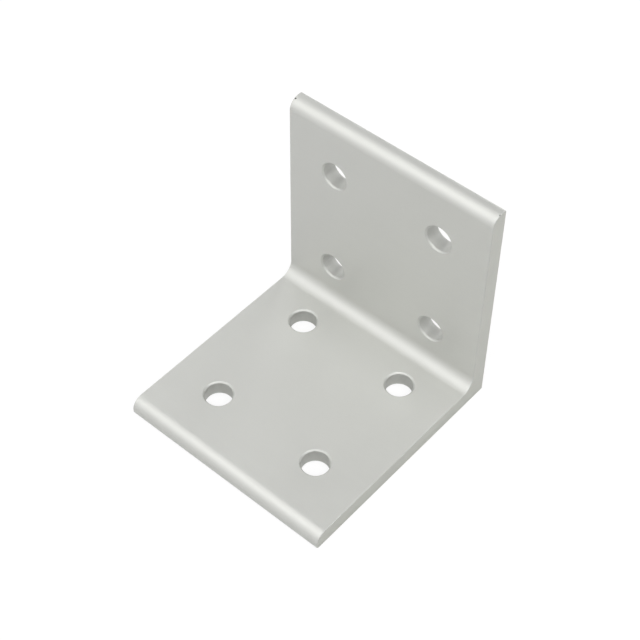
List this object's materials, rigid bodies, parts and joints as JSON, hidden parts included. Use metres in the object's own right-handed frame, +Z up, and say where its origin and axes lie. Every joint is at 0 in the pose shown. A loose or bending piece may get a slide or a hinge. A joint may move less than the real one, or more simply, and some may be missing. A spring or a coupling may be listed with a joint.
{
  "type": "t slot corner bracket",
  "caption": "Wide equal-leg aluminium angle bracket that bolts two slotted framing profiles together at a right angle.",
  "frame": {"origin": "on the line where the planes of the two seating faces meet, half way along the width", "axes": "+Z up along the wall leg, -Y along the base leg, +X along the width; the base leg seats on z = 0 and the wall leg seats on y = 0"},
  "size_m": [0.076, 0.08, 0.08],
  "materials": {
    "anodised_aluminium": "matte clear anodised, with deburred sawn ends and drilled holes"
  },
  "bodies": {
    "root": {"corner_bracket": "anodised_aluminium"}
  },
  "joints": []
}
